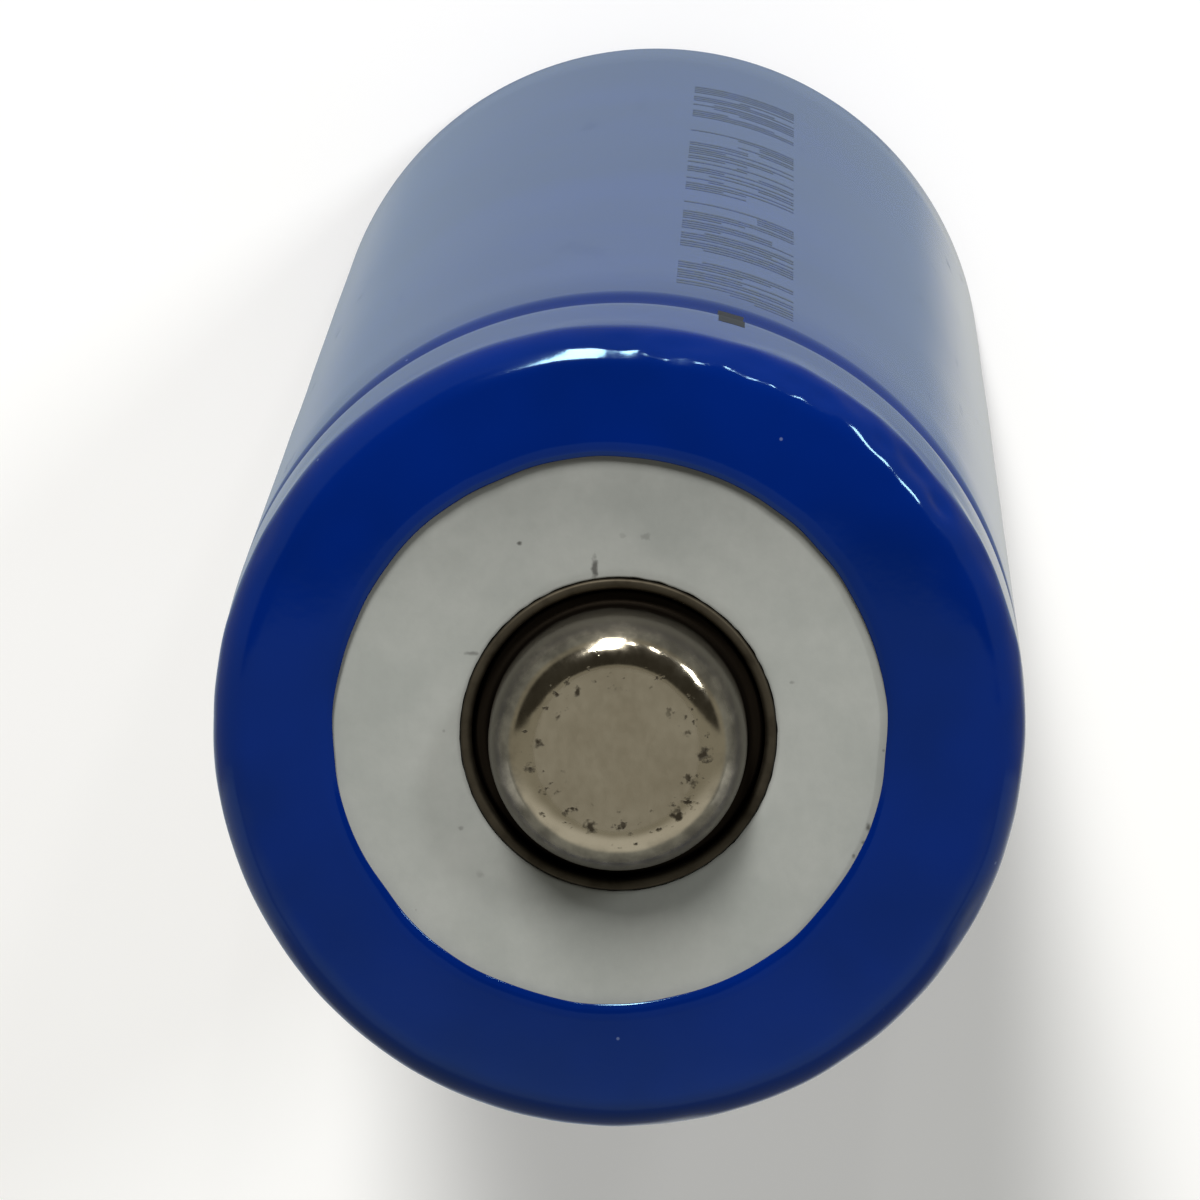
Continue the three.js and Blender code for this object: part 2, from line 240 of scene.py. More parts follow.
# ---- sleeve ----
sleeve = {
    "segments": 384,
    "wall": 0.12,
    "bottomHole": 7.2,
    "topHole": 6.25,
    "bottomCorner": 0.95,
    "topCorner": 1.0,
    "crest": 6.4,  # radius of the lip's highest circle
    "lean": 4.5,  # degrees the lip already slopes outwards there
    "slope": 9,  # and where its corner starts
    "edgeDrop": 0.06,  # the lip's inner edge sinks by this
    "dipMiddle": 59,
    "dipHalfWidth": 1.2,
    "dipDepth": 0.23,
    "holeShift": (-0.18, 0.1),  # how far off centre the upper hole shrank
    "holeWander": 0.05,  # how uneven its edge is
    "bodyWave": (0.02, 5, 9),  # depth, mm round and mm along, as for the next two
    "cornerWave": (0.075, 2.4, 1.1),
    "cornerCrease": (0.03, 0.9, 0.5),
    "busy": (5, 30, 70, 100),  # degrees round between which the corner's creases grow, and then fade
    "lipLift": 0.035,
    "taper": 0.03,  # the crimped end draws in by this
    "pleats": (46, 0.03),  # round the lower hole: how many, and half their height
    "lowerWander": 0.12,
    # where each of these starts and is full, in mm: up from the base, down from the crest, or off the axis
    "sideUp": (0.5, 4),
    "sideDown": (1.5, 4),
    "taperDown": (4.6, 1),
    "lipDown": (2, 0.3),
    "lipOut": (8.3, 6.25),
    "cornerDown": (2.6, 0.9),
    "cornerOut": (7.9, 8.7),
    "pleatsUp": (1, 0.1),
    "pleatsOut": (8.6, 7.2),
    # small pinches left in the corner by the heat gun: turn in degrees, mm below the crest, width, depth
    "pinches": [
        (0.5, 0.55, 0.35, 0.05),
        (7.5, 0.5, 0.45, 0.07),
        (12, 0.6, 0.5, 0.06),
        (21, 0.55, 0.5, 0.08),
        (26, 0.5, 0.3, 0.06),
        (31, 0.5, 0.3, 0.07),
        (36, 0.75, 0.5, 0.06),
        (42, 0.5, 0.3, 0.07),
        (48, 0.65, 0.6, 0.13),
        (54, 0.55, 0.35, 0.11),
        (66, 0.8, 0.6, 0.05),
        (-62, 0.7, 0.6, 0.04),
        (118, 0.7, 0.6, 0.05),
        (171, 0.8, 0.7, 0.04),
    ],
}


def sleeveOutline():
    axis = bodyRadius - sleeve["topCorner"]
    slope, lean = math.radians(sleeve["slope"]), math.radians(sleeve["lean"])
    cornerStart = axis + sleeve["topCorner"] * math.sin(slope)
    lipRadius = (cornerStart - sleeve["crest"]) / (math.sin(slope) - math.sin(lean))
    lipMiddle = (sleeve["crest"] - lipRadius * math.sin(lean), bodyHeight - lipRadius * math.cos(lean))
    corner = lipMiddle[1] + (lipRadius - sleeve["topCorner"]) * math.cos(slope)
    steep, shallow = 90 - sleeve["slope"], 90 - sleeve["lean"]
    low = bodyRadius - sleeve["bottomCorner"]
    bottom = arcPoints((low, sleeve["bottomCorner"]), sleeve["bottomCorner"], -90, 0, 10)
    dip = groovePoints(bodyRadius, sleeve["dipMiddle"], sleeve["dipHalfWidth"], sleeve["dipDepth"], 18)
    top = arcPoints((axis, corner), sleeve["topCorner"], 0, steep, 18)
    lip = arcPoints(lipMiddle, lipRadius, steep, shallow, 8)[1:]
    edge = (sleeve["topHole"], bodyHeight - sleeve["edgeDrop"])
    return [
        (sleeve["bottomHole"], 0),
        *straight((sleeve["bottomHole"], 0), bottom[0], 5),
        *bottom,
        *straight(bottom[-1], dip[0], 14),
        *dip,
        *straight(dip[-1], top[0], 9),
        *top,
        *lip,
        *straight(lip[-1], edge, 4),
        edge,
    ]


# The film isn't quite even: a slow wave in the side, an off-centre wandering edge, creases where it was
# shrunk over the corner, and fine pleats round the lower hole.
def sleeveUnevenness(place, normal, turn):
    radial = Vector((place.x, place.y, 0)).normalized()
    ringWay = Vector((radial.y, -radial.x, 0))
    below = bodyHeight - place.z
    radius = math.hypot(place.x, place.y)
    shift = Vector()
    side = smoothStep(*sleeve["sideUp"], place.z) * smoothStep(*sleeve["sideDown"], below)
    depth, around, along = sleeve["bodyWave"]
    wave = noise.noise(Vector((place.x / around, place.y / around, place.z / along)))
    shift += radial * side * depth * wave
    shift -= radial * sleeve["taper"] * smoothStep(*sleeve["taperDown"], below)
    onLip = smoothStep(*sleeve["lipOut"], radius) * smoothStep(*sleeve["lipDown"], below)
    if onLip > 0:
        wander = noise.noise(radial * 2.3 + Vector((0, 0, 4))) + 0.5 * noise.noise(radial * 6)
        shift += onLip * Vector((*sleeve["holeShift"], 0)) + radial * onLip * sleeve["holeWander"] * wander
        shift.z += onLip * sleeve["lipLift"] * (0.5 + 0.5 * noise.noise(radial * 3.1))
    corner = smoothStep(*sleeve["cornerDown"], below) * smoothStep(*sleeve["cornerOut"], radius)
    if corner > 0:
        begin, most, least, end = sleeve["busy"]
        busy = 0.35 + 0.65 * smoothStep(begin, most, turn) * smoothStep(end, least, turn)
        spot = radial * bodyRadius
        wave, around, along = sleeve["cornerWave"]
        coarse = wave * noise.noise(Vector((spot.x / around, spot.y / around, below / along)))
        crease, around, along = sleeve["cornerCrease"]
        fine = crease * noise.noise(Vector((spot.x / around, spot.y / around, below / along + 7)))
        shift += normal * corner * busy * (coarse + fine)
    for at, depth, width, push in sleeve["pinches"]:
        along = math.radians(turn - at) * bodyRadius
        across = below - depth
        if abs(along) < 3 * width and across < 3 * width:
            reach = math.exp(-((along / width) ** 2) - (across / (0.45 * width)) ** 2)
            shift += (ringWay * along / width - normal) * push * reach
    pleats = smoothStep(*sleeve["pleatsOut"], radius) * smoothStep(*sleeve["pleatsUp"], place.z)
    if pleats > 0:
        count, high = sleeve["pleats"]
        shift.z += pleats * high * (1 + math.sin(math.radians(turn) * count + 3 * noise.noise(radial * 4)))
        shift += radial * pleats * sleeve["lowerWander"] * noise.noise(radial * 3 + Vector((0, 0, 9)))
    return shift


sleevePiece = turnedPiece("shrink_sleeve", sleeveOutline(), sleeve["segments"], closed=False)
sculpt(sleevePiece, sleeveUnevenness)
applyModifier(sleevePiece, "SOLIDIFY", thickness=sleeve["wall"] * mm, offset=-1)
applyModifier(
    sleevePiece,
    "BEVEL",
    width=0.03 * mm,
    segments=2,
    limit_method="ANGLE",
    angle_limit=math.radians(55),
)


# PVC film, extruded as a tube and shrunk on with hot air: a smooth, glossy skin with a faint orange peel
def shrinkFilm():
    look = {
        "blue": "#001d69",
        "deep": "#00195a",
        "tint": (0.45, 0.8, 1, 1),
        "cloud": (6, 0.3, 0.7),  # mm across, and the noise levels it runs between, as for every pattern
        "dust": 1.1,  # mm from one grain to the next
        "dustEdge": (0.045, 0.02),  # where a grain starts and is full, as a share of that
        "dustColour": "#8390b0",
        "dustShare": 0.35,
        "scuff": (1.2, 0.62, 0.74),
        "rough": (0.09, 0.14),
        "peel": (0.45, 0.2, 0.8),
        "peelDepth": 0.0012,
    }
    material, tree, shader, place = newMaterial("PVC shrink film", IOR=1.5, Specular_Tint=look["tint"])
    blues = {6: linear(look["blue"]), 7: linear(look["deep"])}
    colour = addNode(tree, "Mix", {0: patches(tree, place, *look["cloud"]), **blues}, **colours)
    dust = addNode(tree, "TexVoronoi", {"Vector": place, "Scale": 1 / (look["dust"] * mm)})
    start, full = look["dustEdge"]
    grains = addNode(tree, "MapRange", {0: dust, 1: start, 2: full}, **smooth)
    colour = lay(tree, colour, grains, look["dustShare"], linear(look["dustColour"]))
    scuffs = patches(tree, place, *look["scuff"], detail=5, stretch=(1, 1, 0.18))
    clean, scuffed = look["rough"]
    rough = addNode(tree, "MapRange", {0: scuffs, 3: clean, 4: scuffed}, **smooth)
    peel = patches(tree, place, *look["peel"], detail=2)
    bump = addNode(tree, "Bump", {"Height": peel, "Distance": look["peelDepth"] * mm})
    feed(tree, shader, {"Base Color": colour, "Roughness": rough, "Normal": bump})
    return material


filmMaterial = shrinkFilm()
finishPiece(sleevePiece, filmMaterial, "blue_shrink_sleeve", "sleeve")


# ---- insulating washer ----
washer = {"segments": 192, "outer": 7.9, "hole": 3.57, "edge": 0.05, "ragged": 0.02, "pressed": 0.012}
washerLow, washerTop = levels("top_washer")


def washerOutline():
    edge = washer["edge"]
    inner, outer = washer["hole"], washer["outer"]
    lift = washerTop - edge
    return [
        *arcPoints((inner + edge, washerLow + edge), edge, 180, 270, 3),
        *arcPoints((outer - edge, washerLow + edge), edge, 270, 360, 3),
        *arcPoints((outer - edge, lift), edge, 0, 90, 3),
        *straight((outer - edge, washerTop), (inner + edge, washerTop), 22),
        *arcPoints((inner + edge, lift), edge, 90, 180, 3),
    ]


# die-cut board: its hole is a little ragged, and its face is pressed down slightly where the lip grips it
def washerUnevenness(place, normal, turn):
    radial = Vector((place.x, place.y, 0)).normalized()
    radius = math.hypot(place.x, place.y)
    nearHole = smoothStep(washer["hole"] + 0.25, washer["hole"], radius)
    shift = radial * nearHole * washer["ragged"] * noise.noise(radial * 14)
    if place.z > washerTop - 0.01:
        shift.z -= washer["pressed"] * (1 + noise.noise(place / 2.2))
    return shift


washerPiece = turnedPiece("washer_board", washerOutline(), washer["segments"])
sculpt(washerPiece, washerUnevenness)


# vulcanised fibre board, die-cut: matt and slightly mottled, with rubbed-in dirt, and painted shade darkening
# its +Y side and the rim of its hole
def fibreBoard():
    look = {
        "pale": "#9b9d98",
        "dull": "#929590",
        "mottle": (2.4, 0.3, 0.7),
        "fibre": (0.22, 0.25, 0.75),
        "fibreColour": "#6f726d",
        "fibreShare": 0.08,
        "fibreDepth": 0.0016,
        "speck": 0.75,  # mm from one speck to the next
        "speckEdge": (0.06, 0.03),
        "speckChance": (0.72, 0.8),  # only the specks past this show
        "speckShare": 0.4,
        "dirtAndShade": "#2b2925",
        "ragged": (0.12, 1.4),  # mm across a notch in a mark's outline, and its depth in half-widths
        "markEdge": (2, 0.9),  # where a mark starts and is full, in half-widths with the notches
        "grimeAndShade": (0.1, 0.25),  # mm round the hole, strength
        "paintedShade": (1.5, 6.5, 0.3),  # from y to y in mm, strength
        "paintedShadeMottle": (0.8, 1),
    }
    # marks of rubbed-in dirt: x, y, half-width, half-height in mm, strength
    marks = [
        (-0.53, 3.78, 0.09, 0.34, 0.8),
        (-2.22, 4.34, 0.07, 0.06, 0.85),
        (0.62, 4.5, 0.16, 0.12, 0.4),
        (0.1, 4.52, 0.14, 0.1, 0.3),
        (-3.3, 1.84, 0.22, 0.05, 0.5),
        (5.62, -2.1, 0.06, 0.1, 0.75),
        (5.5, -2.45, 0.07, 0.06, 0.6),
        (5.3, -2.75, 0.05, 0.07, 0.55),
        (-3.55, -2.15, 0.08, 0.06, 0.35),
        (-3.1, -3.2, 0.1, 0.08, 0.25),
        (3.9, 1.2, 0.07, 0.05, 0.35),
    ]
    material, tree, shader, place = newMaterial("vulcanised fibre board", IOR=1.45, Roughness=0.62)
    mottle = patches(tree, place, *look["mottle"], detail=4)
    fibre = patches(tree, place, *look["fibre"], detail=4, stretch=(1, 0.75, 1))
    tones = {6: linear(look["pale"]), 7: linear(look["dull"])}
    colour = addNode(tree, "Mix", {0: mottle, **tones}, **colours)
    colour = lay(tree, colour, fibre, look["fibreShare"], linear(look["fibreColour"]))
    specks = addNode(tree, "TexVoronoi", {"Vector": place, "Scale": 1 / (look["speck"] * mm)})
    chance = addNode(tree, "SeparateColor", {0: specks.outputs["Color"]})
    low, high = look["speckChance"]
    rare = addNode(tree, "MapRange", {0: chance, 1: low, 2: high}, **smooth)
    start, full = look["speckEdge"]
    dots = addNode(tree, "MapRange", {0: specks, 1: start, 2: full}, **smooth)
    dots = addNode(tree, "Math", {0: dots, 1: rare}, operation="MULTIPLY")
    dirtAndShade = addNode(tree, "Math", {0: dots, 1: look["speckShare"]}, operation="MULTIPLY")
    notch, notchDepth = look["ragged"]
    ragged = addNode(tree, "TexNoise", {"Vector": place, "Scale": 1 / (notch * mm), "Detail": 2})
    ragged = addNode(tree, "Math", {0: ragged, 1: notchDepth * mm}, operation="MULTIPLY")
    start, full = look["markEdge"]
    for x, y, halfWidth, halfHeight, strength in marks:
        middle = (x * mm, y * mm, washerTop * mm)
        inputs = {"Vector": place, "Location": middle, "Scale": (halfWidth, halfHeight, 1)}
        centred = addNode(tree, "Mapping", inputs, vector_type="TEXTURE")
        away = addNode(tree, "VectorMath", {0: centred}, operation="LENGTH")
        away = addNode(tree, "Math", {0: away, 1: ragged}, operation="ADD")
        inputs = {0: away, 1: start * mm, 2: full * mm, 4: strength}
        mark = addNode(tree, "MapRange", inputs, **smooth)
        dirtAndShade = addNode(tree, "Math", {0: dirtAndShade, 1: mark}, operation="MAXIMUM")
    # a thin dark line where the board meets the metal: partly grime, partly painted shade in the gap
    width, strength = look["grimeAndShade"]
    reach = axisDistance(tree, place)
    inputs = {0: reach, 1: (washer["hole"] + width) * mm, 2: washer["hole"] * mm, 4: strength}
    grimeAndShade = addNode(tree, "MapRange", inputs, **smooth)
    dirtAndShade = addNode(tree, "Math", {0: dirtAndShade, 1: grimeAndShade}, operation="MAXIMUM")
    # and painted shade: the board made faintly darker over a wide band on the +Y side
    parts = addNode(tree, "SeparateXYZ", {0: place})
    start, full, strength = look["paintedShade"]
    inputs = {0: parts.outputs["Y"], 1: start * mm, 2: full * mm, 4: strength}
    paintedShade = addNode(tree, "MapRange", inputs, **smooth)
    low, high = look["paintedShadeMottle"]
    uneven = addNode(tree, "MapRange", {0: mottle, 3: low, 4: high}, **smooth)
    paintedShade = addNode(tree, "Math", {0: paintedShade, 1: uneven}, operation="MULTIPLY")
    dirtAndShade = addNode(tree, "Math", {0: dirtAndShade, 1: paintedShade}, operation="MAXIMUM")
    # the dirt, the grime line and the painted shade all darken the board towards one dark colour
    colour = addNode(tree, "Mix", {0: dirtAndShade, 6: colour, 7: linear(look["dirtAndShade"])}, **colours)
    bump = addNode(tree, "Bump", {"Height": fibre, "Distance": look["fibreDepth"] * mm})
    feed(tree, shader, {"Base Color": colour, "Normal": bump})
    return material


finishPiece(washerPiece, fibreBoard(), "white_washer_board", "top_washer")


# ---- button ----
button = {
    "segments": 192,
    "radius": 2.9,
    "shoulder": 1.05,
    "wall": 0.3,
    "brim": 3.25,
    "brimThick": 0.25,
    "brimEdge": 0.08,
    "fillet": 0.16,
    "dent": (0.01, 1.3),  # depth and mm across
    "ripple": (0.0016, 0.35),
}
buttonLow, buttonTop = levels("button_cap")


def buttonOutline():
    flat = button["radius"] - button["shoulder"]
    middle = (flat, buttonTop - button["shoulder"])
    brimTop = buttonLow + button["brimThick"]
    edge, fillet = button["brimEdge"], button["fillet"]
    inside = buttonTop - button["wall"]
    return [
        (0, inside),
        (flat * 0.5, inside),
        *arcPoints(middle, button["shoulder"] - button["wall"], 90, 0, 14),
        (button["radius"] - button["wall"], buttonLow),
        (button["brim"] - edge, buttonLow),
        *arcPoints((button["brim"] - edge, buttonLow + edge), edge, -90, 0, 3)[1:],
        *arcPoints((button["brim"] - edge, brimTop - edge), edge, 0, 90, 4),
        *arcPoints((button["radius"] + fillet, brimTop + fillet), fillet, 270, 180, 5),
        *straight((button["radius"], brimTop + fillet), (button["radius"], middle[1]), 8),
        *arcPoints(middle, button["shoulder"], 0, 90, 40),
        *straight((flat, buttonTop), (flat * 0.1, buttonTop), 10),
        (flat * 0.1, buttonTop),
        (0, buttonTop),
    ]


# the drawn shoulder isn't quite even, and the flat is worn a little lower in places
def buttonUnevenness(place, normal, turn):
    if place.z < buttonLow + button["brimThick"] or normal.z < -0.2:
        return Vector()
    dent, across = button["dent"]
    coarse = dent * noise.noise(place / across + Vector((3, 1, 0)))
    ripple, across = button["ripple"]
    return normal * (coarse + ripple * noise.noise(place / across))


buttonPiece = turnedPiece("button_shell", buttonOutline(), button["segments"])
sculpt(buttonPiece, buttonUnevenness)


# Nickel-plated steel, deep drawn and handled: satin and faintly yellow, with dark worn pits round the flat,
# a brown bloom on the shoulder, and black grime down in the recess that is also painted shade there
def wornNickel(name, bright, tarnish, recess, rough, bloomed):
    look = {
        "stain": (1.4, 0.35, 0.72),
        "stainShare": 0.35,
        "wander": (0.5, 0.2, 0.8),
        "wanderBy": 0.3,  # mm that the edges of all these wander by
        "wornFrom": (-0.5, 0.05),  # mm outside the flat where small pits start and are frequent
        "wornTo": (0.6, 0.35),  # where they end and are still frequent
        "smallPit": (0.26, 0.61, 0.7),
        "pitEdge": (0.27, 0.14),  # mm past its radius where a pit starts and is full
        "pitJitter": (0.16, 0.5),  # mm across a notch in its outline, and the notch's depth
        "pitColour": "#2a2216",
        "pitShare": 0.92,
        "pitDepth": 0.004,
        "bloom": "#6a655b",
        "bloomEdge": (0.5, 1.1),  # mm outside the flat
        "grimeAndShade": "#171009",
        "grimeAndShadeShare": 0.95,
        "grimeAndShadeEdge": (0.3, -0.15),  # mm above the recess where it starts and is full
        "dullRough": 0.55,
        "satinEdge": (0.1, -0.05),  # mm outside the flat
        "outerEdge": (0.62, 0.9),
        "outerRough": 0.05,
        "brushed": (0.22, 0.3, 0.7),
        "brushedRough": 0.05,
        "brushedDepth": 0.0004,
    }
    # the larger pits: x, y and radius in mm
    pits = [
        (-0.9, 1.34, 0.08),
        (-1.75, 0.15, 0.1),
        (-1.95, -0.42, 0.13),
        (-1.6, -0.95, 0.07),
        (-1.11, -1.38, 0.08),
        (-0.62, -1.74, 0.15),
        (0.3, -1.87, 0.06),
        (0.98, -1.78, 0.08),
        (1.36, -1.45, 0.15),
        (1.62, -1.18, 0.09),
        (1.72, -0.72, 0.1),
        (1.95, -0.1, 0.16),
        (1.62, 0.4, 0.08),
        (-1.3, 0.75, 0.06),
        (0.75, 1.4, 0.05),
    ]
    material, tree, shader, place = newMaterial(name, Metallic=1)
    flat = button["radius"] - button["shoulder"]
    stain = patches(tree, place, *look["stain"], detail=5)
    colour = lay(tree, linear(bright), stain, look["stainShare"], linear(tarnish))
    reach = axisDistance(tree, place)
    wander = patches(tree, place, *look["wander"])
    wander = addNode(tree, "Math", {0: wander, 1: look["wanderBy"] * mm}, operation="MULTIPLY")
    edge = addNode(tree, "Math", {0: reach, 1: wander}, operation="ADD")

    # small pits in a ring round the flat
    worn = patches(tree, place, *look["smallPit"])
    for start, full in (look["wornFrom"], look["wornTo"]):
        inputs = {0: edge, 1: (flat + start) * mm, 2: (flat + full) * mm}
        within = addNode(tree, "MapRange", inputs, **smooth)
        worn = addNode(tree, "Math", {0: worn, 1: within}, operation="MULTIPLY")

    # and the larger ones
    notch, notchDepth = look["pitJitter"]
    jitter = addNode(tree, "TexNoise", {"Vector": place, "Scale": 1 / (notch * mm), "Detail": 3})
    jitter = addNode(tree, "Math", {0: jitter, 1: notchDepth * mm}, operation="MULTIPLY")
    start, full = look["pitEdge"]
    for x, y, radius in pits:
        centred = addNode(tree, "Mapping", {"Vector": place, "Location": (-x * mm, -y * mm, 0)})
        away = axisDistance(tree, centred)
        away = addNode(tree, "Math", {0: away, 1: jitter}, operation="ADD")
        inputs = {0: away, 1: (radius + start) * mm, 2: (radius + full) * mm}
        pit = addNode(tree, "MapRange", inputs, **smooth)
        worn = addNode(tree, "Math", {0: worn, 1: pit}, operation="MAXIMUM")

    # bloom on the shoulder, dark pits, and grime with painted shade in the recess below
    start, full = look["bloomEdge"]
    inputs = {0: edge, 1: (flat + start) * mm, 2: (flat + full) * mm, 4: bloomed}
    bloom = addNode(tree, "MapRange", inputs, **smooth)
    colour = addNode(tree, "Mix", {0: bloom, 6: colour, 7: linear(look["bloom"])}, **colours)
    colour = lay(tree, colour, worn, look["pitShare"], linear(look["pitColour"]))
    parts = addNode(tree, "SeparateXYZ", {0: place})
    level = addNode(tree, "Math", {0: parts.outputs["Z"], 1: wander}, operation="ADD")
    start, full = look["grimeAndShadeEdge"]
    inputs = {0: level, 1: (recess + start) * mm, 2: (recess + full) * mm}
    grimeAndShade = addNode(tree, "MapRange", inputs, **smooth)
    colour = lay(tree, colour, grimeAndShade, look["grimeAndShadeShare"], linear(look["grimeAndShade"]))

    # polished where it was drawn over the shoulder, satin elsewhere, dull in the pits and in the grimy,
    # painted-shade recess
    polished, satin = rough
    start, full = look["satinEdge"]
    inputs = {0: reach, 1: (flat + start) * mm, 2: (flat + full) * mm, 3: polished, 4: satin}
    shine = addNode(tree, "MapRange", inputs, **smooth)
    start, full = look["outerEdge"]
    satin += look["outerRough"]
    inputs = {0: reach, 1: (flat + start) * mm, 2: (flat + full) * mm, 3: polished, 4: satin}
    outer = addNode(tree, "MapRange", inputs, **smooth)
    shine = addNode(tree, "Math", {0: shine, 1: outer}, operation="MAXIMUM")
    brushed = patches(tree, place, *look["brushed"], detail=5, stretch=(1, 0.7, 1))
    streaks = addNode(tree, "Math", {0: brushed, 1: look["brushedRough"]}, operation="MULTIPLY")
    shine = addNode(tree, "Math", {0: shine, 1: streaks}, operation="ADD")
    dull = addNode(tree, "Math", {0: grimeAndShade, 1: worn}, operation="MAXIMUM")
    dull = addNode(tree, "Math", {0: dull, 1: look["dullRough"]}, operation="MULTIPLY")
    shine = addNode(tree, "Math", {0: shine, 1: dull}, operation="MAXIMUM")

    bump = addNode(tree, "Bump", {"Height": brushed, "Distance": look["brushedDepth"] * mm})
    whole = addNode(tree, "Math", {0: 1, 1: worn}, operation="SUBTRACT")
    inputs = {"Height": whole, "Distance": look["pitDepth"] * mm, "Normal": bump}
    bump = addNode(tree, "Bump", inputs)
    feed(tree, shader, {"Base Color": colour, "Roughness": shine, "Normal": bump})
    return material


buttonMaterial = wornNickel(
    "nickel-plated button, satin", "#cdc4ae", "#a89c84", recess=65.05, rough=(0.085, 0.32), bloomed=0.9
)
finishPiece(buttonPiece, buttonMaterial, "nickel_button", "button_cap")


# ---- top cap ----
cap = {
    "segments": 160,
    "collarOuter": 3.55,
    "collarInner": 3.3,
    "crest": 0.12,
    "flange": 8.1,
    "thick": 0.55,
    "dish": 0.67,  # underside of the dish above the flange's underside
    "dishThick": 0.32,
    "edge": 0.06,  # small rounded or cut edges
    "stepRise": 0.4,
    "vents": 4,
    "ventSize": (1.25, 1.5, 2),  # across the step, round the cap, tall
    "ventRadius": 4.275,  # to its middle
    "ventCorner": 0.25,
}
capLow, capTop = levels("top_cap")


def capOutline():
    dishLow, dishHigh = capLow + cap["dish"], capLow + cap["dish"] + cap["dishThick"]
    flangeTop = capLow + cap["thick"]
    crest = cap["crest"]
    outer, inner = cap["collarOuter"], cap["collarInner"]
    edge, rise = cap["edge"], cap["stepRise"]
    return [
        (0, dishLow),
        (inner - 0.4, dishLow),
        *arcPoints((inner - 0.1, dishLow - 0.25), 0.25, 90, 40, 4)[1:],
        (inner + 0.62, capLow + edge),
        (inner + 0.7, capLow),
        (cap["flange"] - edge, capLow),
        (cap["flange"], capLow + edge),
        (cap["flange"], flangeTop - edge),
        (cap["flange"] - edge, flangeTop),
        (outer + 0.65, flangeTop),
        (outer + 0.5, flangeTop + 0.04),
        (outer + edge, flangeTop + rise),
        (outer, flangeTop + rise + 0.1),
        *arcPoints((outer - crest / 2, capTop - crest / 2), crest / 2, 0, 90, 4),
        *arcPoints((inner + crest, capTop - crest), crest, 90, 180, 6),
        *arcPoints((inner - edge, dishHigh + edge), edge, 0, -90, 3),
        (inner * 0.5, dishHigh),
        (0, dishHigh),
    ]


capPiece = turnedPiece("terminal_cap", capOutline(), cap["segments"])


# gas vents through the step of the cap, under the washer
def cutVents(piece):
    for index in range(cap["vents"]):
        turn = 2 * math.pi * (index + 0.5) / cap["vents"]
        middle = Vector((math.cos(turn), math.sin(turn), 0)) * cap["ventRadius"] * mm
        middle.z = (capLow + cap["stepRise"]) * mm
        bpy.ops.object.select_all(action="DESELECT")
        bpy.ops.mesh.primitive_cube_add(size=1, location=middle, rotation=(0, 0, turn))
        cutter = bpy.context.active_object
        cutter.scale = [side * mm for side in cap["ventSize"]]
        bpy.ops.object.transform_apply(location=True, rotation=True, scale=True)
        bpy.ops.object.mode_set(mode="EDIT")
        bpy.ops.mesh.select_all(action="SELECT")
        bpy.ops.mesh.bevel(offset=cap["ventCorner"] * mm, segments=3)
        bpy.ops.object.mode_set(mode="OBJECT")
        applyModifier(piece, "BOOLEAN", object=cutter, operation="DIFFERENCE", solver="EXACT")
        bpy.data.objects.remove(cutter)


cutVents(capPiece)
capMaterial = wornNickel(
    "nickel-plated cap, tarnished", "#4f493d", "#37322a", recess=64.78, rough=(0.5, 0.5), bloomed=0
)
finishPiece(capPiece, capMaterial, "nickel_plated_cap", "top_cap")


# ---- can ----
can = {
    "segments": 160,
    "radius": 9.05,
    "wall": 0.25,
    "floor": 0.3,
    "bottomCorner": 0.8,
    "topCorner": 1.0,
    "lipHole": 6.9,
    "groove": 59.2,
    "grooveDepth": 1.33,
    "grooveHalfWidth": 1.45,
    "weld": (0.9, 0.4, 0.07),  # mm off the middle, radius, depth
    "faceRadius": 5.4,  # the middle of the base stands in a little, out to here
    "faceRise": 0.01,
}
canLow, canTop = levels("can")


def canOutline():
    inner = can["radius"] - can["wall"]
    corner = can["topCorner"] - can["wall"]
    lowCorner = can["bottomCorner"] - can["wall"]
    lowMiddle = (can["radius"] - can["bottomCorner"], canLow + can["bottomCorner"])
    lowInside = (inner - lowCorner, canLow + can["floor"] + lowCorner)
    crimpMiddle = (can["radius"] - can["topCorner"], canTop - can["topCorner"])
    halfWidth = can["grooveHalfWidth"]
    outGroove = groovePoints(can["radius"], can["groove"], halfWidth, can["grooveDepth"], 14)
    inGroove = groovePoints(inner, can["groove"], halfWidth + can["wall"] / 2, can["grooveDepth"], 14)
    return [
        (0, canLow),
        (0.2, canLow),
        *straight((0.2, canLow), (lowMiddle[0], canLow), 24),
        *arcPoints(lowMiddle, can["bottomCorner"], -90, 0, 8),
        *outGroove,
        *arcPoints(crimpMiddle, can["topCorner"], 0, 90, 8),
        (can["lipHole"], canTop),
        (can["lipHole"], canTop - can["wall"]),
        *arcPoints(crimpMiddle, corner, 90, 0, 8),
        *reversed(inGroove),
        *arcPoints(lowInside, lowCorner, 0, -90, 6),
        (2, canLow + can["floor"]),
        (0, canLow + can["floor"]),
    ]


# two shallow dimples where the tab inside was spot-welded to the base
def weldDimples(place, normal, turn):
    if normal.z > -0.9 or place.z > canLow + 0.01:
        return Vector()
    off, radius, depth = can["weld"]
    away = [((place.x - x) / radius) ** 2 + (place.y / radius) ** 2 for x in (-off, off)]
    edge = can["faceRadius"]
    face = smoothStep(edge + 0.2, edge - 0.2, math.hypot(place.x, place.y))
    return Vector((0, 0, depth * sum(math.exp(-a) for a in away) + can["faceRise"] * face))


canPiece = turnedPiece("steel_can", canOutline(), can["segments"])
sculpt(canPiece, weldDimples)


